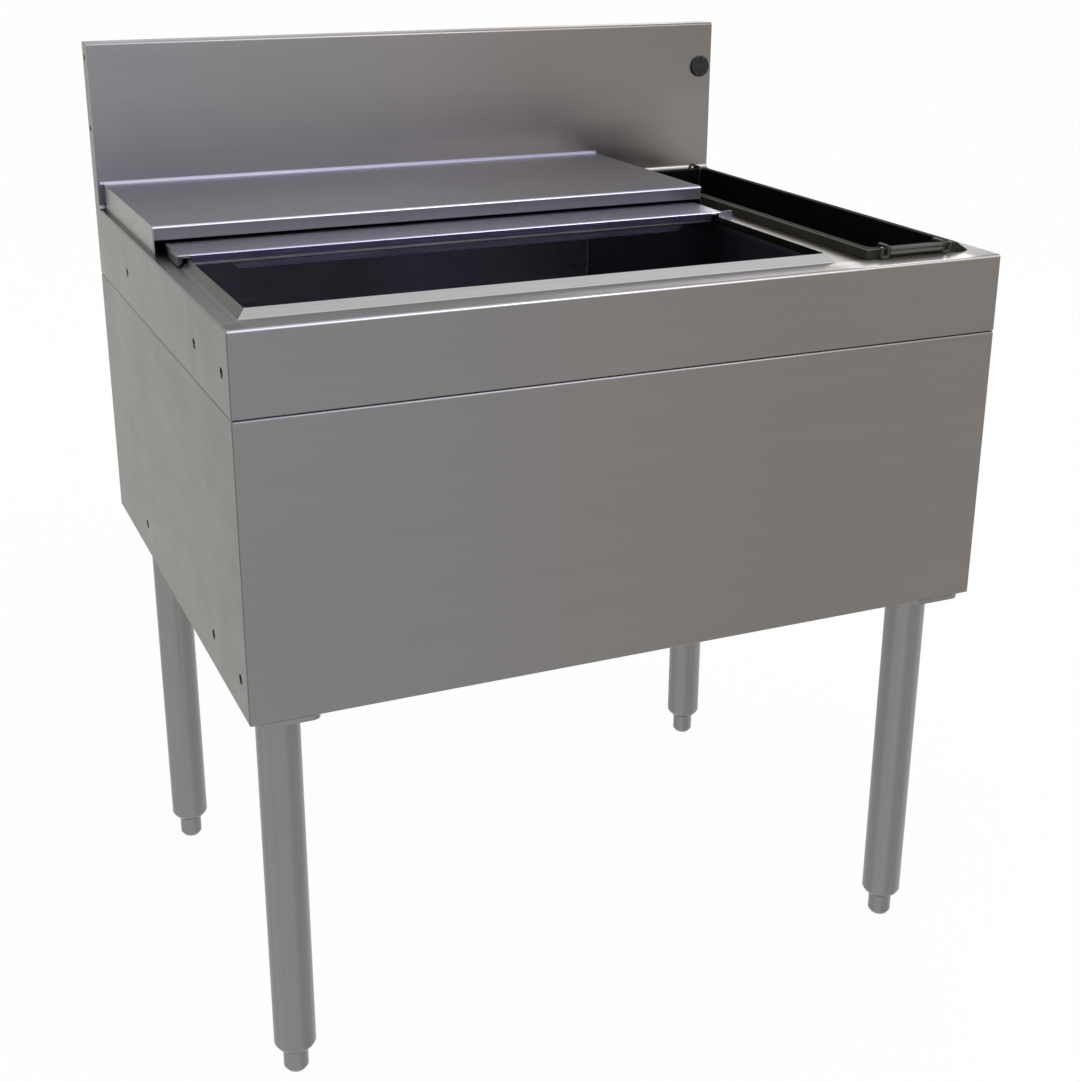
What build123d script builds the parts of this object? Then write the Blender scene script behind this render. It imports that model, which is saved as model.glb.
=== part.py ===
from build123d import *
import os

# Underbar ice bin with a bottle well, in millimetres.
# The origin is on the floor under the middle of the unit. +X is right, +Y is back, +Z is up.

# Overall sizes
width = 762.0                   # left to right
depth = 609.6                   # front to back
height = 942.8                  # floor to the top of the backsplash
cabinet_height = 355.6          # underside of the cabinet to the worktop
apron_height = 76.2             # worktop's own front and sides
splash_height = 177.8           # backsplash above the worktop
splash_depth = 25.4
floor_gap = height - splash_height - cabinet_height

# Sheet metal
sheet = 1.5                     # worktop and cabinet
thin_sheet = 1.2                # liner and covers
bend_radius = 2.0               # outside of a plain bend
front_bend_radius = 3.0         # top front bends of the worktop and the skirt
cove_radius = 5.0               # worktop into backsplash
splash_bend_radius = 3.0
flange = 12.0                   # folded edges inside the cabinet
corner_return = 3.0             # front skirt round the cabinet's corners
tray_edge = 9.0                 # cabinet floor's turned-up edges
splash_rear_flange = 50.0       # down the back of the backsplash
fit_gap = 0.3                   # between pieces that lie close
thread_gap = 0.1                # between a thread or plug and its seat
hem_rounding = 0.9              # of the sheet, at a folded edge
plane_tolerance = 0.01          # for finding edges on a plane

# Joining holes in both sides
joining_hole_radius = 4.8
joining_holes_from_front = (25.4, 127.0, 438.0)
joining_drop = 41.3             # upper row, under the worktop
joining_lift = 35.6             # lower row, over the cabinet's underside
splash_hole_radius = 3.5
splash_hole_from_back = 11.3
splash_hole_heights = (86.3, 162.0)
nut_pocket_radius = 9.0
nut_pocket_depth = 18.0

# Ice bin liner, measured from the cabinet's left and front faces
bin_from_left = 25.0
bin_from_front = 38.3
bin_width = 560.0
bin_length = 518.7
bin_depth = 305.0               # worktop to bin floor
rim_height = 8.0                # the rim slopes at 45 degrees
slope_length = 2 ** 0.5         # along a 45-degree slope, for each unit of its rise
bin_corner_radius = 3.0
bin_floor_radius = 3.0
bin_cutout_margin = 4.0         # worktop's opening round the liner

# Bin drain
drain_from_left = 305.0
drain_from_front = 400.0
drain_flange_radius = 30.0
drain_flange_thickness = 2.0
drain_pipe_radius = 16.7
drain_wall = 3.4
drain_tail = 38.0               # pipe below the cabinet
drain_spigot_radius = 16.0      # plain end under the locknut
gasket_thickness = 1.0
locknut_radius = 24.0
locknut_height = 8.0
strainer_radius = 26.0
strainer_height = 9.0
strainer_wall = 1.0
strainer_hole_radius = 2.0
strainer_hole_ring = 15.0
strainer_hole_count = 12
strainer_rounding = 3.0

# Partition between the insulated bin and the bottle well
partition_from_left = 612.0

# Fixed rear cover, lying on the worktop
rear_cover_from_left = 6.0
rear_cover_width = 599.5
rear_cover_from_front = 315.5
rear_cover_height = 27.4
rear_cover_lip = 14.0           # front and back flanges
rear_cover_upstand = 2.6        # back edge over the cover's top
rear_cover_wing = 3.8           # back edge beyond the cover's left side
rear_cover_hem = 6.5
rear_cover_notch = 8.0          # clears the cove
rear_cover_gap = 0.6            # to the backsplash
cover_bend_radius = 2.2         # front bends of both covers
cover_corner_radius = 1.5       # rear cover's corners and side bends

# Sliding front cover, parked under the rear one
front_cover_from_left = 15.5
front_cover_width = 579.0
front_cover_from_front = 250.0
front_cover_length = 300.0
front_cover_top = 11.5          # over the worktop
front_cover_edge = 1.0          # flange's lower edge over the worktop
front_cover_leg = 4.0           # corner strip beside each notch
front_cover_nose_inset = 12.5   # nose stands inside the rim
front_cover_return = 6.0
pull_lip_height = 6.8
pull_lip_from_left = 66.0
pull_lip_width = 483.0
pull_lip_slant = 7.0            # each end runs in by this much
pull_lip_setback = 1.5
ear_length = 13.0
ear_foot = 6.0
glide_width = 11.0
glide_inset = 4.5               # from the cover's side flange

# Bottle well, measured from the cabinet's left and front faces
well_from_left = 636.0
well_from_front = 39.0
well_width = 88.0
well_length = 483.5
well_depth = 250.0
well_wall = 3.0
well_lip = 8.5                  # lip beyond the inside of the well
well_lip_height = 9.5
well_right_slope = 15.0         # right lip spreads by this much at its foot
well_lip_flat = 6.0             # level top of the right lip
well_lip_radius = 1.2
well_corner_radius = 6.0
well_floor_radius = 3.0
well_cutout_margin = 2.0

# Bottle wires that hook over the lip of the well
wire_radius = 1.7
wire_bend = 2.7
wires_from_left = (648.0, 711.0)
wire_drop = 20.0                # under the worktop
hook_drop = 9.5                 # down the outside of the lip
hook_stand_off = 3.5            # more room between the front hooks and the lip
crossbar_radius = 1.8
crossbar_drops = (1.9, 6.0)     # under the hooks' top
hook_loop = 7.5                 # width of each front hook's U
ring_wire_shift = 6.0           # right-hand wire runs outwards to its back end by this much
ring_radius = 3.6
ring_drop = 1.7                 # ring's middle under the hooks' top
ring_overlap = 0.5              # wire's end past the ring's middle

# Plug in the backsplash's hose hole
plug_from_right = 15.5
plug_height = 125.6
hose_hole_radius = 11.0
plug_cap_radius = 12.6
plug_cap_thickness = 3.0
plug_skirt_wall = 1.6
plug_skirt_length = 9.0
plug_rib_count = 8
plug_rib_width = 1.2
plug_rib_start = 4.41           # each groove runs outwards from here

# Legs
leg_from_side = 37.6
front_leg_from_front = 53.2
rear_leg_from_back = 84.2
leg_radius = 20.65
leg_wall = 1.6
plate_width = 58.0              # left to right
plate_length = 104.0            # front to back
plate_thickness = 4.8
plate_corner = 10.0
screw_spacing = 36.0            # left to right
screw_run = 60.0                # front to back
screw_radius = 3.0
screw_head_radius = 6.0
screw_head_height = 3.0
screw_end = 4.5                 # thread past the channel
channel_height = 8.0
channel_wall = 2.0
channel_screw_margin = 7.0      # from the screws' middle to the channel's edge and web
channel_half_width = screw_spacing / 2 + channel_screw_margin
channel_web_half_width = screw_spacing / 2 - channel_screw_margin
channel_end_margin = 12.0

# Feet
foot_radius = 12.3
foot_length = 52.0
foot_bevel = 4.0
foot_bottom_radius = 9.5
foot_showing = 24.6             # floor to the insert's mouth
shoulder_height = 8.2
shoulder_bulge = 0.8
insert_length = 46.0
insert_top = 4.0

# Planes that the pieces share
left = -width / 2
right = width / 2
front = -depth / 2
back = depth / 2
underside = floor_gap
deck = floor_gap + cabinet_height
apron_bottom = deck - apron_height
splash_front = back - splash_depth
splash_top = deck + splash_height
splash_seam = splash_top - splash_rear_flange
bin_left = left + bin_from_left
bin_right = bin_left + bin_width
bin_front = front + bin_from_front
bin_back = bin_front + bin_length
bin_floor = deck - bin_depth
drain_x = left + drain_from_left
drain_y = front + drain_from_front
partition_x = left + partition_from_left
well_left = left + well_from_left
well_right = well_left + well_width
well_front = front + well_from_front
well_back = well_front + well_length
channel_top = underside + sheet + channel_height
tube_bottom = foot_showing + shoulder_height
joining_rows = (deck - joining_drop, underside + joining_lift)
front_legs_y = front + front_leg_from_front
rear_legs_y = back - rear_leg_from_back
leg_positions = {
    "front_left": (left + leg_from_side, front_legs_y),
    "front_right": (right - leg_from_side, front_legs_y),
    "rear_left": (left + leg_from_side, rear_legs_y),
    "rear_right": (right - leg_from_side, rear_legs_y),
}


def block(x0, x1, y0, y1, z0, z1):
    """A box between two planes in each direction."""
    return Pos((x0 + x1) / 2, (y0 + y1) / 2, (z0 + z1) / 2) * Box(x1 - x0, y1 - y0, z1 - z0)


def post(x, y, z0, z1, radius):
    """An upright cylinder between two heights."""
    return Pos(x, y, (z0 + z1) / 2) * Cylinder(radius, z1 - z0)


def cross_bore(x, y, z, radius, length):
    """A cylinder along X, centred on a point."""
    return Pos(x, y, z) * Rot(0, 90, 0) * Cylinder(radius, length)


def edges_on(shape, **planes):
    """The edges that lie wholly on the given planes, such as x=0 or z=5."""
    found = ShapeList()
    for edge in shape.edges():
        box = edge.bounding_box()
        low, high = box.min, box.max
        spans = {"x": (low.X, high.X), "y": (low.Y, high.Y), "z": (low.Z, high.Z)}
        if all(abs(end - value) < plane_tolerance for name, value in planes.items() for end in spans[name]):
            found.append(edge)
    return found


def quarter_arc(start, end, centre):
    """A quarter circle from start to end round centre."""
    hub = Vector(*centre)
    chord = (Vector(*start) + Vector(*end)) / 2 - hub
    radius = (Vector(*start) - hub).length
    return ThreePointArc(start, hub + chord.normalized() * radius, end)


def along_x(outline, x0, x1):
    """A Y-Z outline swept from x0 to x1."""
    return Pos(x0, 0, 0) * extrude(Plane.YZ * make_face(outline), amount=x1 - x0)


def rear_block(inset, x0, x1):
    """The worktop's back part with its cove and backsplash, as a block moved inwards by inset."""
    wall = splash_front + inset
    rear = back - inset
    low = apron_bottom + inset
    level = deck - inset
    high = splash_top - inset
    cove = cove_radius + inset
    top = splash_bend_radius - inset
    sides = Polyline((wall - cove, level), (wall - cove, low), (rear, low), (rear, high), (wall + top, high))
    top_bend = quarter_arc((wall + top, high), (wall, high - top), (wall + top, high - top))
    face = Line((wall, high - top), (wall, level + cove))
    foot = quarter_arc((wall, level + cove), (wall - cove, level), (wall - cove, level + cove))
    return along_x(sides + top_bend + face + foot, x0, x1)


def end_cap_block(x0, x1):
    """The shape that closes one end of the backsplash."""
    wall = splash_front + sheet
    high = splash_top - sheet
    top = splash_bend_radius - sheet
    sides = Polyline((wall, high - top), (wall, deck), (back, deck), (back, high), (wall + top, high))
    bend = quarter_arc((wall + top, high), (wall, high - top), (wall + top, high - top))
    return along_x(sides + bend, x0, x1)


def joining_bores(z):
    """Cutters for one row of joining holes in both sides."""
    spots = [(x, front + from_front) for x in (left, right) for from_front in joining_holes_from_front]
    return [cross_bore(x, y, z, joining_hole_radius, 4 * sheet) for x, y in spots]


def folded_front(y1, z0, z1):
    """A box from the unit's front face to y1 with all its bends."""
    shell = block(left, right, front, y1, z0, z1)
    shell = fillet(edges_on(shell, y=front, z=z1), front_bend_radius)
    rear = edges_on(shell, y=y1)
    bends = edges_on(shell, y=front, z=z0) + edges_on(shell, x=left) + edges_on(shell, x=right)
    return fillet([edge for edge in bends if edge not in rear], bend_radius)


def worktop():
    """Deck, aprons and backsplash, folded from one sheet."""
    seam = splash_front - cove_radius
    table = folded_front(seam, apron_bottom, deck)
    rear = rear_block(0, left, right)
    folded = edges_on(rear, x=left, z=apron_bottom) + edges_on(rear, x=right, z=apron_bottom)
    rear = fillet(folded, bend_radius)
    top = table + rear
    top -= block(left + sheet, right - sheet, front + sheet, seam, apron_bottom + sheet, deck - sheet)
    top -= rear_block(sheet, left + sheet, right - sheet)
    top -= block(left + flange, right - flange, front + flange, back, apron_bottom, apron_bottom + sheet)
    top -= block(left + sheet, right - sheet, back - sheet - fit_gap, back, apron_bottom, deck)
    top -= block(left + sheet, right - sheet, back - sheet, back, apron_bottom, splash_seam)
    top -= end_cap_block(left, left + sheet)
    top -= end_cap_block(right - sheet, right)
    margin = bin_cutout_margin
    top -= block(bin_left - margin, bin_right + margin, bin_front - margin, bin_back + margin,
                 deck - 2 * sheet, deck)
    margin = well_wall + well_cutout_margin
    top -= block(well_left - margin, well_right + margin, well_front - margin, well_back + margin,
                 deck - 2 * sheet, deck)
    top -= joining_bores(joining_rows[0])
    hose_hole = Pos(right - plug_from_right, splash_front, deck + plug_height) * Rot(90, 0, 0)
    top -= hose_hole * Cylinder(hose_hole_radius, 4 * sheet)
    return top


def splash_end(x0, x1):
    """Welded end of the backsplash with its two fixing holes."""
    cap = end_cap_block(x0, x1)
    for height in splash_hole_heights:
        cap -= cross_bore(x0, back - splash_hole_from_back, deck + height, splash_hole_radius, 4 * sheet)
    return cap


def front_skirt():
    """Lower front of the cabinet, folded in under the apron and round both corners."""
    skirt = folded_front(front + flange, underside, apron_bottom)
    skirt -= block(left + sheet, right - sheet, front + sheet, front + flange,
                   underside, apron_bottom - sheet)
    skirt -= block(left, left + sheet, front + corner_return, front + flange, underside, apron_bottom)
    skirt -= block(right - sheet, right, front + corner_return, front + flange, underside, apron_bottom)
    return skirt


def side_panel():
    """Lower left side of the cabinet with its top edge folded in."""
    start = front + corner_return
    panel = block(left, left + flange, start, back, underside, apron_bottom)
    folded = edges_on(panel, x=left, z=underside) + edges_on(panel, x=left, z=apron_bottom)
    panel = fillet(folded, bend_radius)
    panel -= block(left + sheet, left + flange, start, back, underside, apron_bottom - sheet)
    panel -= block(left + sheet, left + flange, start, front + flange + fit_gap, underside, apron_bottom)
    panel -= block(left + sheet, left + flange, back - sheet - fit_gap, back, underside, apron_bottom)
    panel -= joining_bores(joining_rows[1])
    return panel


def back_panel():
    """Flat sheet that closes the back of the cabinet and the backsplash."""
    return block(left + sheet, right - sheet, back - sheet, back, underside, splash_seam)


def screw_positions():
    """The sixteen screws of the four leg plates."""
    across, along = screw_spacing / 2, screw_run / 2
    corners = [(dx, dy) for dx in (-across, across) for dy in (-along, along)]
    return [(x + dx, y + dy) for x, y in leg_positions.values() for dx, dy in corners]


def bottom_panel():
    """Floor of the cabinet, a tray with its edges turned up inside the skins."""
    x0, x1, y0, y1 = left + sheet, right - sheet, front + sheet, back - sheet
    tray = block(x0, x1, y0, y1, underside, underside + tray_edge)
    tray -= block(x0 + sheet, x1 - sheet, y0 + sheet, y1 - sheet, underside + sheet, underside + tray_edge)
    tray -= post(drain_x, drain_y, underside, underside + sheet, drain_pipe_radius + fit_gap)
    for x, y in screw_positions():
        tray -= post(x, y, underside, underside + sheet, screw_radius + fit_gap)
    return tray


def leg_channel(x):
    """Hat channel on the cabinet floor over one pair of legs."""
    y0, y1 = front + channel_end_margin, back - channel_end_margin
    z0 = underside + sheet
    web = channel_web_half_width
    hat = block(x - channel_half_width, x + channel_half_width, y0, y1, z0, z0 + channel_wall)
    hat += block(x - web, x + web, y0, y1, z0, channel_top)
    hat -= block(x - web + channel_wall, x + web - channel_wall, y0, y1, z0, channel_top - channel_wall)
    for sx, sy in screw_positions():
        hat -= post(sx, sy, z0, z0 + channel_wall, screw_radius + fit_gap)
    return hat


def partition_panel():
    """Upright sheet between the insulated bin and the bottle well."""
    y0, y1 = front + 2 * sheet, back - 2 * sheet
    panel = block(partition_x, partition_x + thin_sheet, y0, y1, underside + sheet, deck - sheet)
    reach = sheet + fit_gap
    panel -= block(partition_x, partition_x + thin_sheet, y0, front + flange + fit_gap,
                   apron_bottom - reach, apron_bottom + reach)
    return panel


def rim_frustum(top):
    """The rim's 45-degree slope with its ridge at the given height, as a solid."""
    middle = ((bin_left + bin_right) / 2, (bin_front + bin_back) / 2, top - rim_height)
    base = Rectangle(bin_width + 2 * rim_height, bin_length + 2 * rim_height)
    return Pos(*middle) * extrude(base, amount=rim_height, taper=45)


def bin_liner():
    """Ice bin with a raised rim that lies on the worktop round the opening."""
    wall = thin_sheet
    outside = bin_left - wall, bin_right + wall, bin_front - wall, bin_back + wall
    rim = rim_frustum(deck + rim_height)
    hollow = rim_frustum(deck + rim_height - wall * slope_length)
    hollow &= block(left, right, front, back, deck, deck + rim_height)
    hollow -= block(*outside, deck, deck + rim_height)
    cavity = block(bin_left, bin_right, bin_front, bin_back, bin_floor, deck + rim_height)
    cavity = fillet(cavity.edges().filter_by(Axis.Z), bin_corner_radius)
    cavity = fillet(cavity.edges().group_by(Axis.Z)[0], bin_floor_radius)
    liner = rim + block(*outside, bin_floor - wall, deck)
    liner -= hollow
    liner -= cavity
    liner -= post(drain_x, drain_y, bin_floor - wall, bin_floor, drain_pipe_radius + fit_gap)
    return liner


def bin_insulation():
    """Foam that fills the cabinet round the liner."""
    gap = fit_gap
    wall = thin_sheet + gap
    foam = block(left + sheet + gap, partition_x - gap, front + sheet + gap, back - sheet - gap,
                 channel_top, deck - sheet - gap)
    foam -= block(bin_left - wall, bin_right + wall, bin_front - wall, bin_back + wall,
                  bin_floor - thin_sheet, deck)
    reach = sheet + gap
    foam -= block(left, right, front, front + flange + gap, apron_bottom - reach, apron_bottom + reach)
    foam -= block(left, left + flange + gap, front, back, apron_bottom - reach, apron_bottom + reach)
    foam -= post(drain_x, drain_y, channel_top, bin_floor, drain_pipe_radius + gap)
    for z in joining_rows:
        for from_front in joining_holes_from_front:
            foam -= cross_bore(left, front + from_front, z, nut_pocket_radius, 2 * nut_pocket_depth)
    return foam


def drain_gasket():
    """Rubber washer under the drain's flange."""
    z1 = bin_floor + gasket_thickness
    washer = post(drain_x, drain_y, bin_floor, z1, drain_flange_radius)
    return washer - post(drain_x, drain_y, bin_floor, z1, drain_pipe_radius + fit_gap)


def drain_fitting():
    """Flanged drain pipe from the bin floor to below the cabinet."""
    z0 = bin_floor + gasket_thickness
    z1 = z0 + drain_flange_thickness
    low = underside - drain_tail
    pipe = post(drain_x, drain_y, z0, z1, drain_flange_radius)
    pipe += post(drain_x, drain_y, underside - locknut_height, z1, drain_pipe_radius)
    pipe += post(drain_x, drain_y, low, z1, drain_spigot_radius)
    return pipe - post(drain_x, drain_y, low, z1, drain_pipe_radius - drain_wall)


def drain_locknut():
    """Hexagon nut that draws the drain fitting down against the cabinet floor."""
    nut = Pos(drain_x, drain_y, underside - locknut_height) * extrude(
        RegularPolygon(locknut_radius, 6), amount=locknut_height)
    return nut - post(drain_x, drain_y, underside - locknut_height, underside, drain_pipe_radius + thread_gap)


def drain_strainer():
    """Loose perforated cap over the drain."""
    z0 = bin_floor + gasket_thickness + drain_flange_thickness
    z1 = z0 + strainer_height
    cap = post(drain_x, drain_y, z0, z1, strainer_radius)
    cap = fillet(cap.edges().group_by(Axis.Z)[-1], strainer_rounding)
    cap -= post(drain_x, drain_y, z0, z1 - strainer_wall, strainer_radius - strainer_wall)
    for spot in PolarLocations(strainer_hole_ring, strainer_hole_count):
        cap -= Pos(drain_x, drain_y, z1) * spot * Cylinder(strainer_hole_radius, 4 * strainer_wall)
    return cap


def rear_cover():
    """Fixed cover over the back half of the bin, open underneath, with its back edge turned up."""
    x0 = left + rear_cover_from_left
    x1 = x0 + rear_cover_width
    y0 = front + rear_cover_from_front
    y1 = splash_front - rear_cover_gap
    z1 = deck + rear_cover_height
    wall = thin_sheet
    lip = z1 - rear_cover_lip
    cover = block(x0, x1, y0, y1, deck, z1)
    cover = fillet(edges_on(cover, y=y0, z=z1), cover_bend_radius)
    square = edges_on(cover, y=y1) + edges_on(cover, z=deck)
    rounded = [edge for edge in edges_on(cover, x=x0) + edges_on(cover, x=x1) if edge not in square]
    cover = fillet(rounded, cover_corner_radius)
    cover -= block(x0 + wall, x1 - wall, y0 + wall, y1 - wall, deck, z1 - wall)
    cover -= block(x0 + wall, x1 - wall, y0, y0 + wall, deck, lip)
    cover -= block(x0 + wall, x1 - wall, y1 - wall, y1, deck, lip)
    cover += block(x0 + wall, x1 - wall, y0 + wall, y0 + 2 * wall, lip, lip + rear_cover_hem)
    hem = edges_on(cover, y=y0, z=lip) + edges_on(cover, y=y0 + 2 * wall, z=lip)
    cover = fillet(hem, wall * hem_rounding)
    cover -= block(x0, x1, y1 - rear_cover_notch, y1, deck, deck + rear_cover_notch)
    cover += block(x0 - rear_cover_wing, x1, y1 - wall, y1, lip, z1 + rear_cover_upstand)
    cover += block(x0 - rear_cover_wing, x0 + wall, y1 - wall, y1, deck + rear_cover_notch, lip)
    return cover


def along_y(points, y0, y1):
    """An X-Z outline carried from y0 to y1."""
    outline = Polyline(*[(x, y0, z) for x, z in points], close=True)
    return extrude(make_face(outline), amount=y1 - y0, dir=(0, 1, 0))


def front_cover():
    """Sliding cover with a nose that runs inside the rim and a pull lip under it."""
    x0 = left + front_cover_from_left
    x1 = x0 + front_cover_width
    y0 = front + front_cover_from_front
    y1 = y0 + front_cover_length
    z0 = deck + front_cover_edge
    z1 = deck + front_cover_top
    wall = thin_sheet
    nose0, nose1 = x0 + front_cover_nose_inset, x1 - front_cover_nose_inset
    cover = block(x0, x1, y0, y1, z0, z1)
    cover = fillet(edges_on(cover, y=y0, z=z1) + edges_on(cover, x=x0, z=z1) + edges_on(cover, x=x1, z=z1),
                   cover_bend_radius)
    cover -= block(x0 + wall, x1 - wall, y0, y1, z0, z1 - wall)
    nose = block(nose0, nose1, y0, y0 + front_cover_return, z0, z1 - wall)
    nose = fillet(edges_on(nose, y=y0, z=z0), wall * hem_rounding)
    nose -= block(nose0, nose1, y0 + wall, y0 + front_cover_return, z0 + wall, z1 - wall)
    cover += nose
    rise = front_cover_leg - wall
    for edge, side in ((x0, 1), (x1, -1)):
        leg = [(edge, z0), (edge + side * wall, z0), (edge + side * front_cover_leg, z0 + rise),
               (edge + side * front_cover_leg, z1 - wall), (edge, z1 - wall)]
        cover += along_y(leg, y0, y0 + wall)
    ear = [(x1 - wall, z1 - wall), (x1 - wall, z0 + ear_foot), (x1 + ear_length - ear_foot, z0),
           (x1 + ear_length - wall, z0), (x1 + ear_length, z0 + ear_foot), (x1 + ear_length - wall, z1),
           (x1 - cover_bend_radius, z1)]
    cover += along_y(ear, y0, y0 + wall)
    lip0 = left + pull_lip_from_left
    lip1 = lip0 + pull_lip_width
    low = z0 - pull_lip_height
    lip = [(lip0, z0), (lip0 + pull_lip_slant, low), (lip1 - pull_lip_slant, low), (lip1, z0)]
    cover += along_y(lip, y0 + pull_lip_setback, y0 + pull_lip_setback + wall)
    return cover


def cover_glide(side):
    """Plastic strip under the sliding cover that rides on the rim."""
    x0 = left + front_cover_from_left + glide_inset
    x1 = x0 + glide_width
    if side > 0:
        x1 = left + front_cover_from_left + front_cover_width - glide_inset
        x0 = x1 - glide_width
    y0 = front + front_cover_from_front + thin_sheet
    y1 = front + front_cover_from_front + front_cover_length
    return block(x0, x1, y0, y1, deck + rim_height + fit_gap, deck + front_cover_top - thin_sheet)


def bottle_well():
    """Black tub that hangs by its lip in the worktop's second opening."""
    wall = well_wall
    lip_top = deck + well_lip_height
    y0, y1 = well_front - well_lip, well_back + well_lip
    right_top = well_right + well_lip_flat
    lip = [(well_left - well_lip, deck), (well_left - well_lip, lip_top), (right_top, lip_top),
           (right_top + well_right_slope, deck)]
    tub = along_y(lip, y0, y1)
    tub = fillet(edges_on(tub, z=lip_top), well_lip_radius)
    tub += block(well_left - wall, well_right + wall, well_front - wall, well_back + wall,
                 deck - well_depth - wall, deck)
    cavity = block(well_left, well_right, well_front, well_back, deck - well_depth, lip_top)
    cavity = fillet(cavity.edges().filter_by(Axis.Z), well_corner_radius)
    cavity = fillet(cavity.edges().group_by(Axis.Z)[0], well_floor_radius)
    tub -= cavity
    mouth = edges_on(tub, y=well_front, z=lip_top) + edges_on(tub, y=well_back, z=lip_top)
    return fillet(mouth, well_lip_radius)


def hook_planes():
    """The wires' four planes at the lip, front to back, and their height over it."""
    reach = wire_radius + fit_gap
    ends = (well_front - well_lip - reach - hook_stand_off, well_front + reach,
            well_back - reach, well_back + well_lip + reach)
    return ends, deck + well_lip_height + reach


def bottle_wire(x, side):
    """Wire along the well with a hook over its lip and a U in front, and a ring behind the right-hand one."""
    (out0, in0, in1, out1), top = hook_planes()
    low = deck - wire_drop
    loop_x = x + side * hook_loop
    hooked = top - hook_drop
    rear_x = x + ring_wire_shift if side > 0 else x
    points = [(loop_x, out0, top), (loop_x, out0, hooked), (x, out0, hooked), (x, out0, top),
              (x, in0, top), (x, in0, low), (rear_x, in1, low)]
    points += [(rear_x, in1, top), (rear_x, out1 + ring_overlap, top)] if side > 0 else [(x, in1, deck)]
    path = FilletPolyline(*points, radius=wire_bend)
    wire = sweep(Plane(path @ 0, z_dir=path % 0) * Circle(wire_radius), path=path)
    if side > 0:
        wire += Pos(rear_x - ring_radius, out1, top - ring_drop) * Rot(90, 0, 0) * Torus(ring_radius, wire_radius)
    return wire


def bottle_crossbars():
    """Two rods that join the wires' front hooks."""
    ends, top = hook_planes()
    middle = left + sum(wires_from_left) / 2
    length = wires_from_left[1] - wires_from_left[0] - 2 * wire_radius
    return [cross_bore(middle, ends[0], top - drop, crossbar_radius, length) for drop in crossbar_drops]


def hose_hole_plug():
    """Ribbed plastic plug in the backsplash."""
    place = Pos(right - plug_from_right, splash_front, deck + plug_height) * Rot(90, 0, 0)
    cap = Pos(0, 0, plug_cap_thickness / 2) * Cylinder(plug_cap_radius, plug_cap_thickness)
    cap = fillet(cap.edges().group_by(Axis.Z)[-1], plug_cap_thickness / 2)
    skirt_radius = hose_hole_radius - fit_gap
    skirt = Cylinder(skirt_radius, plug_skirt_length)
    skirt -= Cylinder(skirt_radius - plug_skirt_wall, plug_skirt_length)
    plug = cap + Pos(0, 0, -plug_skirt_length / 2) * skirt
    groove = Box(plug_cap_radius, plug_rib_width, plug_cap_thickness / 2)
    for index in range(plug_rib_count):
        turn = Rot(0, 0, index * 360 / plug_rib_count)
        plug -= turn * Pos(plug_rib_start + plug_cap_radius / 2, 0, plug_cap_thickness) * groove
    return place * plug


def leg_plate(x, y):
    """Mounting plate with rounded corners and four countersunk holes."""
    z0 = underside - plate_thickness
    outline = RectangleRounded(plate_width, plate_length, plate_corner)
    plate = Pos(x, y, z0) * extrude(outline, amount=plate_thickness)
    for sx, sy in screw_positions():
        if abs(sx - x) < plate_width and abs(sy - y) < plate_length:
            plate -= post(sx, sy, z0, underside, screw_radius + fit_gap)
            plate -= screw_head(sx, sy, fit_gap)
    return plate


def screw_head(x, y, gap):
    """Countersunk head, flush with the underside of a leg plate."""
    cone = Cone(screw_head_radius + gap, screw_radius + gap, screw_head_height)
    return Pos(x, y, underside - plate_thickness + screw_head_height / 2) * cone


def leg_plate_screws():
    """Sixteen screws through the leg plates, the cabinet floor and the channels."""
    top = underside + sheet + channel_wall + screw_end
    low = underside - plate_thickness + screw_head_height
    return [screw_head(x, y, 0) + post(x, y, low, top, screw_radius) for x, y in screw_positions()]


def leg_tube(x, y):
    """Round leg."""
    top = underside - plate_thickness
    return post(x, y, tube_bottom, top, leg_radius) - post(x, y, tube_bottom, top, leg_radius - leg_wall)


def foot_insert(x, y):
    """Plug in the leg's end with a rounded shoulder and the thread for the foot."""
    mouth = foot_radius + fit_gap
    inner = leg_radius - leg_wall - thread_gap
    top = tube_bottom + insert_length
    edge = mouth + fit_gap
    middle = ((leg_radius + mouth) / 2 + shoulder_bulge, foot_showing + shoulder_height / 2 - shoulder_bulge)
    shoulder = ThreePointArc((leg_radius, tube_bottom), middle, (edge, foot_showing))
    roof = top - insert_top
    socket = Polyline((edge, foot_showing), (mouth, foot_showing), (mouth, roof), (0, roof), (0, top),
                      (inner, top), (inner, tube_bottom), (leg_radius, tube_bottom))
    return Pos(x, y, 0) * revolve(Plane.XZ * make_face(shoulder + socket), Axis.Z)


def levelling_foot(x, y):
    """Bullet foot that screws up and down in the leg."""
    outline = Polyline((0, 0), (foot_bottom_radius, 0), (foot_radius, foot_bevel),
                       (foot_radius, foot_length), (0, foot_length), close=True)
    return Pos(x, y, 0) * revolve(Plane.XZ * make_face(outline), Axis.Z)


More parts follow.
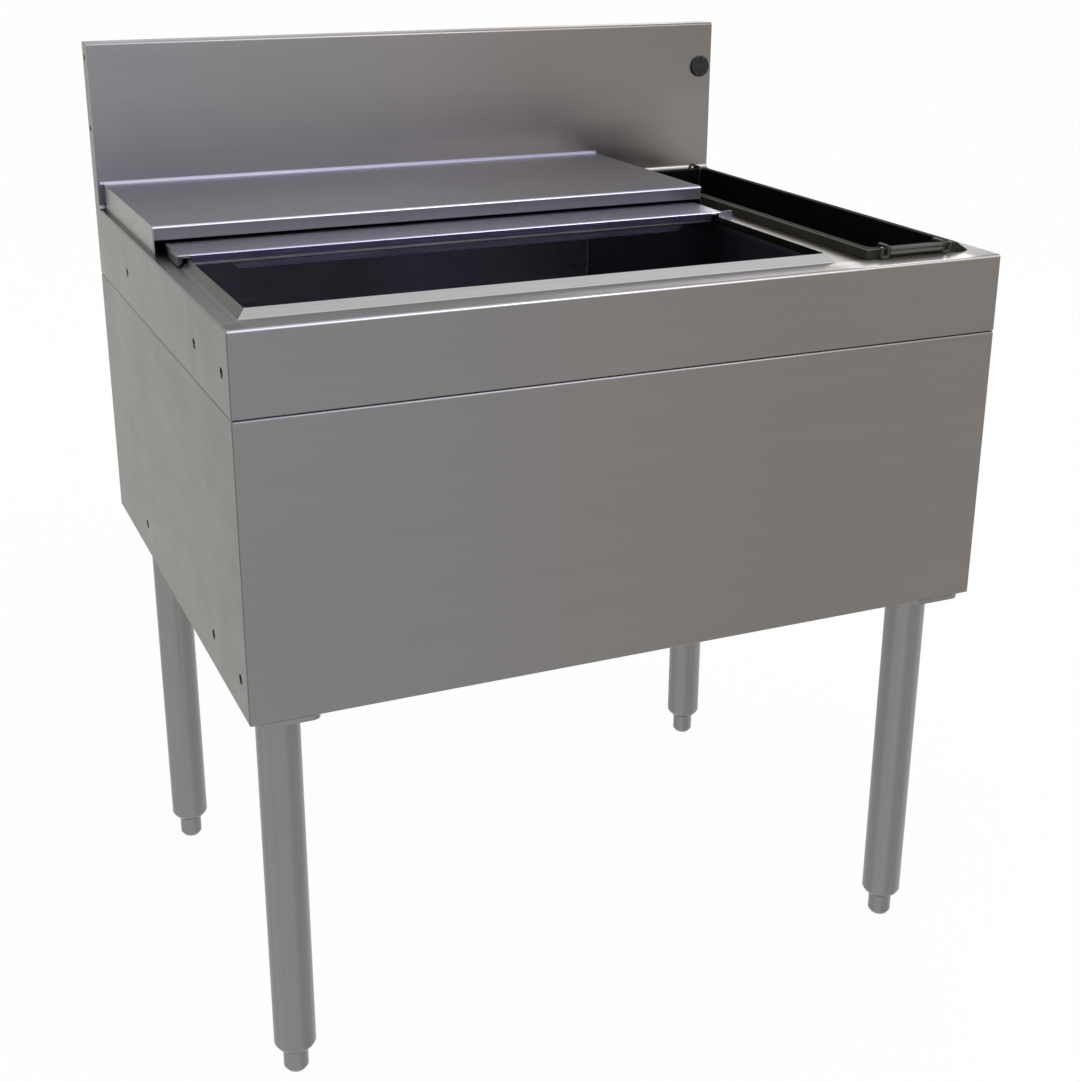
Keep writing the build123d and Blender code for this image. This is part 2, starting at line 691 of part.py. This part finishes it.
def all_parts():
    """Every node of the unit under its own name."""
    parts = {
        "worktop": worktop(),
        "splash_end_left": splash_end(left, left + sheet),
        "splash_end_right": splash_end(right - sheet, right),
        "front_skirt": front_skirt(),
        "side_panel_left": side_panel(),
        "side_panel_right": mirror(side_panel(), about=Plane.YZ),
        "back_panel": back_panel(),
        "bottom_panel": bottom_panel(),
        "leg_channel_left": leg_channel(left + leg_from_side),
        "leg_channel_right": leg_channel(right - leg_from_side),
        "partition_panel": partition_panel(),
        "bin_liner": bin_liner(),
        "bin_insulation": bin_insulation(),
        "drain_gasket": drain_gasket(),
        "drain_fitting": drain_fitting(),
        "drain_locknut": drain_locknut(),
        "drain_strainer": drain_strainer(),
        "rear_cover": rear_cover(),
        "front_cover": front_cover(),
        "cover_glide_left": cover_glide(-1),
        "cover_glide_right": cover_glide(1),
        "bottle_well": bottle_well(),
        "bottle_wire_left": bottle_wire(left + wires_from_left[0], -1),
        "bottle_wire_right": bottle_wire(left + wires_from_left[1], 1),
        "bottle_crossbars": Compound(children=bottle_crossbars()),
        "hose_hole_plug": hose_hole_plug(),
        "leg_plate_screws": Compound(children=leg_plate_screws()),
    }
    for name, (x, y) in leg_positions.items():
        parts["leg_plate_" + name] = leg_plate(x, y)
        parts["leg_tube_" + name] = leg_tube(x, y)
        parts["foot_insert_" + name] = foot_insert(x, y)
        parts["levelling_foot_" + name] = levelling_foot(x, y)
    return parts


os.makedirs("parts", exist_ok=True)
for node, shape in all_parts().items():
    export_step(shape, "parts/" + node + ".step")
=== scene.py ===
import bpy
import math
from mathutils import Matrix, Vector

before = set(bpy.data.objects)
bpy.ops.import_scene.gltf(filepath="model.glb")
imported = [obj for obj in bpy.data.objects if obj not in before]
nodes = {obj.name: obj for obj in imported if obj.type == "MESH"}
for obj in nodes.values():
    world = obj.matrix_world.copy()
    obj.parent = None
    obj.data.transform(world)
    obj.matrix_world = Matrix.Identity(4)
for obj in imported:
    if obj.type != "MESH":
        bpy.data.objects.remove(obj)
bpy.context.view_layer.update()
scene = bpy.context.scene


def srgb(red, green, blue):
    """An sRGB colour in 0 to 255 as Blender's linear colour."""
    def linear(value):
        value /= 255
        return value / 12.92 if value <= 0.04045 else ((value + 0.055) / 1.055) ** 2.4
    return linear(red), linear(green), linear(blue), 1.0


def grey(factor):
    """The same factor for red, green and blue."""
    return factor, factor, factor


def shade(colour, factor):
    """A colour made lighter or darker."""
    return tuple(channel * factor for channel in colour[:3]) + (1.0,)


class Graph:
    """A short way to write a material's nodes."""

    def __init__(self, name):
        self.material = bpy.data.materials.new(name)
        self.material.use_nodes = True
        self.tree = self.material.node_tree
        self.shader = self.tree.nodes["Principled BSDF"]
        self.output = self.tree.nodes["Material Output"]

    def node(self, kind, settings=None, **inputs):
        made = self.tree.nodes.new(kind)
        for key, value in (settings or {}).items():
            setattr(made, key, value)
        for key, value in inputs.items():
            self.feed(made.inputs[key.replace("_", " ")], value)
        return made

    def feed(self, socket, value):
        if isinstance(value, bpy.types.NodeSocket):
            self.tree.links.new(value, socket)
        else:
            socket.default_value = value

    def coordinates(self, kind="Object"):
        """Object coordinates in metres, or the outward direction with kind "Normal"."""
        return self.node("ShaderNodeTexCoord").outputs[kind]

    def place(self, scale, shift=(0, 0, 0)):
        """Object coordinates stretched by scale."""
        mapping = self.node("ShaderNodeMapping", Vector=self.coordinates(), Scale=scale, Location=shift)
        return mapping.outputs["Vector"]

    def noise(self, scale, shift=(0, 0, 0), detail=2.0, roughness=0.5, distortion=0.0):
        """Noise about its middle value 0.5, in features per metre along X, Y and Z."""
        made = self.node("ShaderNodeTexNoise", Vector=self.place(scale, shift), Scale=1.0, Detail=detail,
                         Roughness=roughness, Distortion=distortion)
        return made.outputs["Fac"]

    def spread(self, value, low, high, start=0.3, end=0.7):
        """A value between start and end carried to between low and high."""
        made = self.node("ShaderNodeMapRange", Value=value, From_Min=start, From_Max=end,
                         To_Min=low, To_Max=high)
        return made.outputs["Result"]

    def maths(self, operation, first, second):
        made = self.node("ShaderNodeMath", {"operation": operation})
        self.feed(made.inputs[0], first)
        self.feed(made.inputs[1], second)
        return made.outputs["Value"]

    def mixed(self, amount, first, second, blend="MIX"):
        made = self.node("ShaderNodeMix", {"data_type": "RGBA", "blend_type": blend}, Factor=amount)
        colour_inputs = [socket for socket in made.inputs if socket.type == "RGBA"]
        self.feed(colour_inputs[0], first)
        self.feed(colour_inputs[1], second)
        return next(socket for socket in made.outputs if socket.type == "RGBA")

    def scaled(self, colour, factor):
        """A colour times a number that a node gives."""
        made = self.node("ShaderNodeVectorMath", {"operation": "SCALE"}, Scale=factor)
        self.feed(made.inputs[0], colour)
        return made.outputs["Vector"]

    def zoned(self, colour, zones):
        """A colour multiplied in each zone. A zone is its factors for red, green and blue with the ramps
        that bound it. A ramp is its source, where it starts and where it is full. The source is x, y or z
        in metres, or nx, ny or nz, the outward direction."""
        sources = {}
        for prefix, kind in (("", "Object"), ("n", "Normal")):
            parts = self.node("ShaderNodeSeparateXYZ", Vector=self.coordinates(kind))
            sources.update({prefix + axis: parts.outputs[axis.upper()] for axis in "xyz"})
        for factors, ramps in zones:
            reach = 1.0
            for source, start, end in ramps:
                reach = self.maths("MULTIPLY", self.spread(sources[source], 0, 1, start, end), reach)
            colour = self.mixed(reach, colour, tuple(factors) + (1.0,), "MULTIPLY")
        return colour

    def bump(self, height, distance, strength, normal=None):
        made = self.node("ShaderNodeBump", Height=height, Distance=distance, Strength=strength)
        if normal is not None:
            self.feed(made.inputs["Normal"], normal)
        return made.outputs["Normal"]


# The unit's places in metres, which bound the zones
DECK = 0.765
LEFT_FACE = -0.381
SPLASH_FACE = 0.2794
COVER_TOP = DECK + 0.0274
COVER_UPSTAND = 0.2765
COVER_LEFT_END = -0.375
NOSE_LEFT = -0.354
NOSE_RIGHT = 0.202
WELL_LEFT = 0.255
WELL_FRONT = -0.269

# Where the steel's tone goes from that of the left end to that of the right end: painted reflection and shade
# that differ from left to right
TONE_LEFT = -0.38
TONE_RIGHT = 0.15

# Brush lines and clouds in the steel, in features per metre
LINES_ALONG, LINES_ACROSS = 9, 1400
BANDS_ALONG, BANDS_ACROSS = 1.5, 130
CLOUDS = (3.2, 3.2, 3.2)
SMEARS = (14, 14, 14)


def grain_scale(axis, along, across):
    """Features per metre of a grain that runs along one axis."""
    return tuple(along if axis == other else across for other in "xyz")


def brushed_steel(name, colours, axis, roughness, seed, zones=()):
    """Stainless sheet: brush lines along one axis, faint clouds and smears.
    colours are the tones at the unit's left and right, which paint reflection and shade; zones add painted
    highlights, shade and reflections."""
    graph = Graph(name)
    lines = graph.noise(grain_scale(axis, LINES_ALONG, LINES_ACROSS), (seed, seed, seed), detail=3,
                        roughness=0.6)
    bands = graph.noise(grain_scale(axis, BANDS_ALONG, BANDS_ACROSS), (seed + 3, seed, seed), detail=3,
                        roughness=0.6)
    clouds = graph.noise(CLOUDS, (seed, seed + 5, seed), detail=3, roughness=0.55)
    smears = graph.noise(SMEARS, (seed, seed, seed + 9), detail=4, roughness=0.6, distortion=0.6)
    level = graph.maths("MULTIPLY", graph.spread(lines, 0.973, 1.027), graph.spread(bands, 0.985, 1.015))
    level = graph.maths("MULTIPLY", level, graph.spread(clouds, 0.985, 1.015))
    place = graph.node("ShaderNodeSeparateXYZ", Vector=graph.coordinates())
    tone = graph.mixed(graph.spread(place.outputs["X"], 0, 1, TONE_LEFT, TONE_RIGHT), *colours)
    graph.feed(graph.shader.inputs["Base Color"], graph.scaled(graph.zoned(tone, zones), level))
    graph.shader.inputs["Metallic"].default_value = 1.0
    rough = graph.maths("ADD", graph.spread(lines, roughness - 0.04, roughness + 0.04),
                        graph.spread(smears, -0.015, 0.025))
    graph.feed(graph.shader.inputs["Roughness"], rough)
    brushed = graph.bump(lines, distance=0.00002, strength=0.4)
    waved = graph.bump(clouds, distance=0.0004, strength=0.2, normal=brushed)
    graph.feed(graph.shader.inputs["Normal"], waved)
    return graph.material


def moulded_plastic(name, colour, roughness, specular=0.5, zones=()):
    """Moulded plastic with a fine leather grain and slight wear."""
    graph = Graph(name)
    grain = graph.noise((1800, 1800, 1800), detail=2)
    clouds = graph.noise((22, 22, 22), detail=3)
    tone = graph.mixed(graph.spread(clouds, 0, 1), shade(colour, 0.92), shade(colour, 1.08))
    graph.feed(graph.shader.inputs["Base Color"], graph.zoned(tone, zones))
    graph.shader.inputs["Specular IOR Level"].default_value = specular
    rough = graph.maths("ADD", graph.spread(grain, roughness - 0.05, roughness + 0.05),
                        graph.spread(clouds, -0.04, 0.04))
    graph.feed(graph.shader.inputs["Roughness"], rough)
    graph.feed(graph.shader.inputs["Normal"], graph.bump(grain, distance=0.00005, strength=0.4))
    return graph.material


def foam(name, colour):
    """Closed-cell insulation foam."""
    graph = Graph(name)
    cells = graph.node("ShaderNodeTexVoronoi", Vector=graph.place((700, 700, 700)), Scale=1.0)
    clouds = graph.noise((30, 30, 30), detail=3)
    tone = graph.mixed(graph.spread(clouds, 0, 1), shade(colour, 0.88), shade(colour, 1.05))
    graph.feed(graph.shader.inputs["Base Color"], tone)
    graph.shader.inputs["Roughness"].default_value = 0.9
    pitted = graph.bump(cells.outputs["Distance"], distance=0.0003, strength=0.6)
    graph.feed(graph.shader.inputs["Normal"], pitted)
    return graph.material


def edge(source, place, width):
    """A ramp of this width about a place, falling where the width is negative."""
    return source, place - width / 2, place + width / 2


# Ramps that several zones share
OVER_DECK = ("z", DECK, DECK + 0.0005)
UNDER_DECK = ("z", DECK + 0.001, DECK - 0.004)
FACES_UP = ("nz", 0.8, 0.95)
FACES_FRONT = ("ny", -0.6, -0.8)
FACES_LEFT = ("nx", -0.5, -0.8)
UP_FRONT = ("ny", -0.15, -0.4), ("nz", 0.1, 0.3)

# Worktop, skirt and panels: painted highlights on the bends, painted shade on the left side, and painted
# reflections and shade on the backsplash and deck
# COOL to WARM is a painted reflection gradient across the worktop and skirt
COOL = srgb(129, 129, 130)
WARM = srgb(124, 119, 115)
# SIDE is painted shade: the sheets at the unit's left end are darker than WARM at its right end
SIDE = srgb(107, 105, 97)
MILL = srgb(120, 120, 121)
ON_SPLASH = ("y", SPLASH_FACE - 0.0114, SPLASH_FACE - 0.0054)
# painted shade on the left-facing side of the worktop and skirt
LEFT_SIDE_SHADE = (0.59, 0.57, 0.47), (FACES_LEFT, edge("x", LEFT_FACE + 0.002, -0.002))
WORKTOP_ZONES = (
    # painted highlight on the bend at the front, weaker towards the right
    ((2.15, 2.2, 2.45), UP_FRONT),
    (grey(0.85), UP_FRONT + (edge("x", 0.0, 0.16),)),
    LEFT_SIDE_SHADE,
    # painted reflections on the backsplash, from its left to its right, and painted shade beside the covers
    ((1.28, 1.28, 1.34), (ON_SPLASH, ("x", 0.36, 0.0))),
    (grey(0.94), (ON_SPLASH, ("z", DECK + 0.12, DECK + 0.155))),
    ((0.86, 0.86, 0.91), (ON_SPLASH, ("z", DECK + 0.09, DECK + 0.045), ("x", 0.1, -0.05))),
    ((0.85, 0.85, 0.92), (ON_SPLASH, ("z", DECK + 0.11, DECK + 0.075), ("z", DECK + 0.045, DECK + 0.06),
                          ("x", -0.1, 0.15), ("x", 0.22, 0.15))),
    ((0.77, 0.77, 0.82), (ON_SPLASH, ("z", DECK + 0.07, DECK + 0.05), ("x", 0.16, 0.21), ("x", 0.31, 0.25))),
    (grey(0.72), (ON_SPLASH, ("z", DECK + 0.038, DECK + 0.024), ("x", 0.19, 0.23), ("x", 0.3, 0.25))),
    (grey(1.1), (ON_SPLASH, ("z", DECK + 0.11, DECK + 0.08), ("x", 0.3, 0.34))),
    # the backsplash's top edge, where the painted highlight of the bends is dimmed
    ((0.62, 0.6, 0.52), UP_FRONT + (("z", DECK + 0.16, DECK + 0.17),)),
    # painted reflections and shade on the deck: lighter before the well, darker right of it, before the bin
    # and left of the bin
    ((3.9, 4.1, 4.2), (FACES_UP, ("y", -0.272, -0.282), ("x", 0.2, 0.25), ("x", 0.355, 0.34))),
    (grey(0.62), (FACES_UP, ("x", 0.345, 0.36))),
    (grey(0.68), (FACES_UP, ("y", -0.283, -0.288), ("x", 0.24, 0.2))),
    (grey(0.75), (FACES_UP, ("x", -0.36, -0.365))),
)
# a painted highlight tint on the skirt's bends, and painted shade on its left side
SKIRT_ZONES = (((0.98, 0.97, 1.08), UP_FRONT), LEFT_SIDE_SHADE)
worktop_steel = brushed_steel("worktop_steel", (COOL, WARM), "x", 0.33, 0.0, WORKTOP_ZONES)
skirt_steel = brushed_steel("skirt_steel", (COOL, WARM), "x", 0.33, 2.0, SKIRT_ZONES)
# painted shade on the side sheets at the unit's left end
side_steel = brushed_steel("side_steel", (SIDE, WARM), "y", 0.36, 4.0)
back_steel = brushed_steel("back_steel", (COOL, COOL), "x", 0.42, 6.0)
mill_steel = brushed_steel("mill_steel", (MILL, MILL), "x", 0.5, 8.0)

# Bin liner: a raised rim with painted highlight and shade, and an inside whose dimness and reflections are
# painted
LINER = srgb(122, 121, 122)
LINER_ZONES = (
    # painted highlight on the rim's front, painted shade on its left and a painted shadow line along the
    # left's foot
    ((2.05, 2.1, 2.05), (OVER_DECK,) + UP_FRONT),
    ((0.19, 0.185, 0.11), (OVER_DECK, ("nx", -0.3, -0.5))),
    (grey(0.2), (("z", DECK + 0.0045, DECK + 0.0025), ("nx", -0.3, -0.5), ("y", -0.14, -0.06))),
    # painted light and reflections inside: the whole inside lighter and bluer, its floor darker, the rear
    # wall's right end lighter, the right wall tinted and that wall's front darker
    ((2.3, 2.25, 2.6), (UNDER_DECK,)),
    ((0.55, 0.56, 0.5), (UNDER_DECK, ("nz", 0.6, 0.9))),
    ((2.0, 2.2, 2.5), (UNDER_DECK, FACES_FRONT, edge("x", 0.0, 0.2))),
    ((0.95, 1.05, 1.1), (UNDER_DECK, FACES_LEFT)),
    (grey(0.3), (UNDER_DECK, FACES_LEFT, ("y", 0.02, -0.04))),
    # painted highlights on the rounded corners
    (grey(1.7), (UNDER_DECK, ("ny", -0.2, -0.5), ("ny", -0.95, -0.8))),
)
liner_steel = brushed_steel("liner_steel", (LINER, LINER), "x", 0.3, 10.0, LINER_ZONES)

# Rear cover: a painted highlight on its bend, a painted bright line along the top of the edge that is turned
# up at its back, and painted shade where that edge stands out at its left and on left-facing faces
# its tone from left to right is a painted reflection gradient
REAR_COVER_LEFT = srgb(147, 147, 153)
REAR_COVER_RIGHT = srgb(122, 122, 132)
AT_UPSTAND = edge("y", COVER_UPSTAND, 0.001)
REAR_COVER_ZONES = (
    ((2.3, 2.3, 2.5), UP_FRONT),
    ((3.0, 2.9, 3.3), (("z", COVER_TOP - 0.0004, COVER_TOP + 0.0002), AT_UPSTAND)),
    ((0.5, 0.5, 0.62), (AT_UPSTAND, ("z", COVER_TOP, COVER_TOP - 0.0005), edge("x", COVER_LEFT_END, -0.001))),
    ((0.62, 0.61, 0.5), (FACES_LEFT,)),
)
rear_cover_steel = brushed_steel("rear_cover_steel", (REAR_COVER_LEFT, REAR_COVER_RIGHT), "x", 0.31, 12.0,
                                 REAR_COVER_ZONES)

# Front cover: a painted highlight on its bend, painted light on the nose between the cover's ears with a
# painted highlight line along its foot, painted light on the lip under the deck and on the right ear, and
# painted shade on left-facing faces
# the lilac tone is a painted reflection
FRONT_COVER = srgb(118, 115, 129)
ON_NOSE = edge("x", NOSE_LEFT, 0.001), edge("x", NOSE_RIGHT, -0.001)
FRONT_COVER_ZONES = (
    (grey(2.3), UP_FRONT),
    ((1.6, 1.65, 2.1), (FACES_FRONT, ("z", DECK + 0.0005, DECK + 0.0012)) + ON_NOSE),
    ((8.0, 7.8, 7.2), (("z", DECK + 0.0036, DECK + 0.003), ("z", DECK + 0.0008, DECK + 0.001)) + ON_NOSE),
    ((2.0, 2.05, 2.4), (FACES_FRONT, edge("z", DECK, -0.001))),
    ((3.0, 3.0, 3.1), (FACES_FRONT, edge("x", NOSE_RIGHT, 0.001))),
    (grey(0.12), (FACES_LEFT,)),
)
front_cover_steel = brushed_steel("front_cover_steel", (FRONT_COVER, FRONT_COVER), "x", 0.25, 14.0,
                                  FRONT_COVER_ZONES)

# Legs: soft dark stripes of painted reflection, other ones at the unit's left than at its right, and darker
# left-facing sides, also painted reflection
LEG = srgb(135, 133, 131)
LEG_ZONES = (
    (grey(0.84), (("x", 0.0, -0.1), ("nx", 0.0, 0.22), ("nx", 0.85, 0.6))),
    (grey(0.82), (("x", 0.0, 0.1), ("nx", -0.5, -0.32), ("nx", 0.35, 0.1))),
    (grey(0.85), (("nx", -0.85, -0.95),)),
)
leg_steel = brushed_steel("leg_steel", (LEG, LEG), "z", 0.33, 16.0, LEG_ZONES)

# Drain fittings and screws
FITTING = srgb(140, 139, 137)
fitting_steel = brushed_steel("fitting_steel", (FITTING, FITTING), "z", 0.3, 18.0)

# Bottle well: a dull black tub whose lip is painted lighter than its inside as painted light and shade, and
# wires with painted shade down in the tub
# painted light on the lip's outer faces; the lip's top is painted lighter too
LIT_LIP_FACE = (14.0, 13.4, 13.4)
WELL_ZONES = (
    (grey(9.0), (OVER_DECK, ("nz", 0.3, 0.6))),
    (LIT_LIP_FACE, (OVER_DECK, FACES_LEFT, edge("x", WELL_LEFT, -0.001))),
    (LIT_LIP_FACE, (OVER_DECK, FACES_FRONT, edge("y", WELL_FRONT, -0.002))),
)
# painted shade on the wires down in the tub
WIRE_SHADE_ZONES = (
    (grey(0.25), (("z", DECK + 0.009, DECK + 0.008), ("y", WELL_FRONT + 0.001, WELL_FRONT + 0.005))),
)
well_black = moulded_plastic("well_black", srgb(7, 7, 5.5), 0.68, 0.04, WELL_ZONES)
wire_black = moulded_plastic("wire_black", srgb(34, 34, 31), 0.35, 0.4, WIRE_SHADE_ZONES)
crossbar_black = moulded_plastic("crossbar_black", srgb(66, 66, 62), 0.35, 0.4)

# Plug, glides, gasket and insulation
plug_black = moulded_plastic("plug_black", srgb(14, 14, 14), 0.34, 0.4)
glide_grey = moulded_plastic("glide_grey", srgb(120, 120, 118), 0.45)
gasket_rubber = moulded_plastic("gasket_rubber", srgb(35, 35, 35), 0.7)
insulation_foam = foam("insulation_foam", srgb(215, 205, 170))

FINISHES = {
    "worktop": worktop_steel,
    "splash_end": side_steel,
    "front_skirt": skirt_steel,
    "side_panel": side_steel,
    "back_panel": back_steel,
    "bottom_panel": mill_steel,
    "leg_channel": mill_steel,
    "partition_panel": mill_steel,
    "bin_liner": liner_steel,
    "bin_insulation": insulation_foam,
    "drain_gasket": gasket_rubber,
    "drain_fitting": fitting_steel,
    "drain_locknut": fitting_steel,
    "drain_strainer": fitting_steel,
    "rear_cover": rear_cover_steel,
    "front_cover": front_cover_steel,
    "cover_glide": glide_grey,
    "bottle_well": well_black,
    "bottle_wire": wire_black,
    "bottle_crossbars": crossbar_black,
    "hose_hole_plug": plug_black,
    "leg_plate_screws": fitting_steel,
    "leg_plate": leg_steel,
    "leg_tube": leg_steel,
    "foot_insert": leg_steel,
    "levelling_foot": leg_steel,
}
for name, piece in nodes.items():
    kind = max((key for key in FINISHES if name.startswith(key)), key=len)
    for slot in piece.material_slots:
        slot.material = FINISHES[kind]

# Camera, fitted to the photograph
IMAGE_WIDTH, IMAGE_HEIGHT = 1080, 1082
FOCAL_PIXELS = 1655.09
CENTRE_PIXEL = 517.99, 492.32
CAMERA_PLACE = (-0.6686, -1.57952, 1.09503)
CAMERA_AIM = (0.36733, 0.86519, -0.34135)
camera_data = bpy.data.cameras.new("camera")
camera = bpy.data.objects.new("camera", camera_data)
scene.collection.objects.link(camera)
scene.camera = camera
camera.location = CAMERA_PLACE
camera.rotation_euler = Vector(CAMERA_AIM).to_track_quat("-Z", "Y").to_euler()
camera_data.sensor_width = 36.0
camera_data.lens = FOCAL_PIXELS * camera_data.sensor_width / IMAGE_HEIGHT
camera_data.shift_x = (IMAGE_WIDTH / 2 - CENTRE_PIXEL[0]) / IMAGE_HEIGHT
camera_data.shift_y = (CENTRE_PIXEL[1] - IMAGE_HEIGHT / 2) / IMAGE_HEIGHT
camera_data.dof.use_dof = False


def seen_rays(tree):
    """1 for what the camera sees straight, or mirrored or through glass, else 0."""
    path = tree.nodes.new("ShaderNodeLightPath")
    total = path.outputs["Is Camera Ray"]
    for name in ("Is Glossy Ray", "Is Transmission Ray"):
        either = tree.nodes.new("ShaderNodeMath")
        either.operation = "MAXIMUM"
        tree.links.new(total, either.inputs[0])
        tree.links.new(path.outputs[name], either.inputs[1])
        total = either.outputs["Value"]
    return total


def background(tree, colour, strength):
    made = tree.nodes.new("ShaderNodeBackground")
    made.inputs["Color"].default_value = colour
    made.inputs["Strength"].default_value = strength
    return made.outputs["Background"]


# World: white where it is seen, softer as a light
WHITE = (1.0, 1.0, 1.0, 1.0)
AMBIENT = (0.97, 0.98, 1.0, 1.0)
AMBIENT_STRENGTH = 0.9
world = bpy.data.worlds.new("studio")
scene.world = world
world.use_nodes = True
sky_tree = world.node_tree
sky_tree.nodes.clear()
choice = sky_tree.nodes.new("ShaderNodeMixShader")
sky_tree.links.new(seen_rays(sky_tree), choice.inputs["Fac"])
sky_tree.links.new(background(sky_tree, AMBIENT, AMBIENT_STRENGTH), choice.inputs[1])
sky_tree.links.new(background(sky_tree, WHITE, 1.0), choice.inputs[2])
sky = sky_tree.nodes.new("ShaderNodeOutputWorld")
sky_tree.links.new(choice.outputs["Shader"], sky.inputs["Surface"])

# Floor: pale, mostly white where it is seen, and it keeps the object's shadow
FLOOR_REACH = 40.0
FLOOR_WHITE = 0.96
FLOOR_PALE = (0.92, 0.92, 0.92, 1.0)
floor_corners = [(x * FLOOR_REACH, y * FLOOR_REACH, 0) for x, y in ((-1, -1), (1, -1), (1, 1), (-1, 1))]
floor_mesh = bpy.data.meshes.new("floor")
floor_mesh.from_pydata(floor_corners, [], [(0, 1, 2, 3)])
floor = bpy.data.objects.new("floor", floor_mesh)
scene.collection.objects.link(floor)
floor_graph = Graph("floor_white")
floor_graph.tree.nodes.remove(floor_graph.shader)
matt = floor_graph.node("ShaderNodeBsdfDiffuse", Color=FLOOR_PALE).outputs["BSDF"]
glow = floor_graph.node("ShaderNodeEmission", Color=WHITE, Strength=1.0).outputs["Emission"]
share = floor_graph.maths("MULTIPLY", seen_rays(floor_graph.tree), FLOOR_WHITE)
floor_mix = floor_graph.node("ShaderNodeMixShader", Fac=share)
floor_graph.feed(floor_mix.inputs[1], matt)
floor_graph.feed(floor_mix.inputs[2], glow)
floor_graph.feed(floor_graph.output.inputs["Surface"], floor_mix.outputs["Shader"])
floor_mesh.materials.append(floor_graph.material)

# Lamps: soft boxes that face the middle of the unit
UNIT_MIDDLE = Vector((0, 0, 0.7))


def soft_box(name, direction, distance, width, height, radiance, colour=(1.0, 1.0, 1.0)):
    data = bpy.data.lights.new(name, "AREA")
    data.shape = "RECTANGLE"
    data.size = width
    data.size_y = height
    data.color = colour
    data.energy = radiance * math.pi * width * height
    lamp = bpy.data.objects.new(name, data)
    lamp.visible_camera = False
    scene.collection.objects.link(lamp)
    towards = Vector(direction).normalized()
    lamp.location = UNIT_MIDDLE + towards * distance
    lamp.rotation_euler = (-towards).to_track_quat("-Z", "Y").to_euler()


soft_box("key_lamp", (0.37, -0.7, 0.62), distance=3.0, width=1.5, height=1.2, radiance=4.5)
soft_box("left_lamp", (-0.75, 0.35, 0.3), distance=3.2, width=1.2, height=1.0, radiance=1.0,
         colour=(1.0, 0.98, 0.88))
soft_box("back_lamp", (0.6, 0.8, 0.35), distance=3.4, width=1.4, height=0.8, radiance=2.0)
scene.view_settings.view_transform = "Standard"
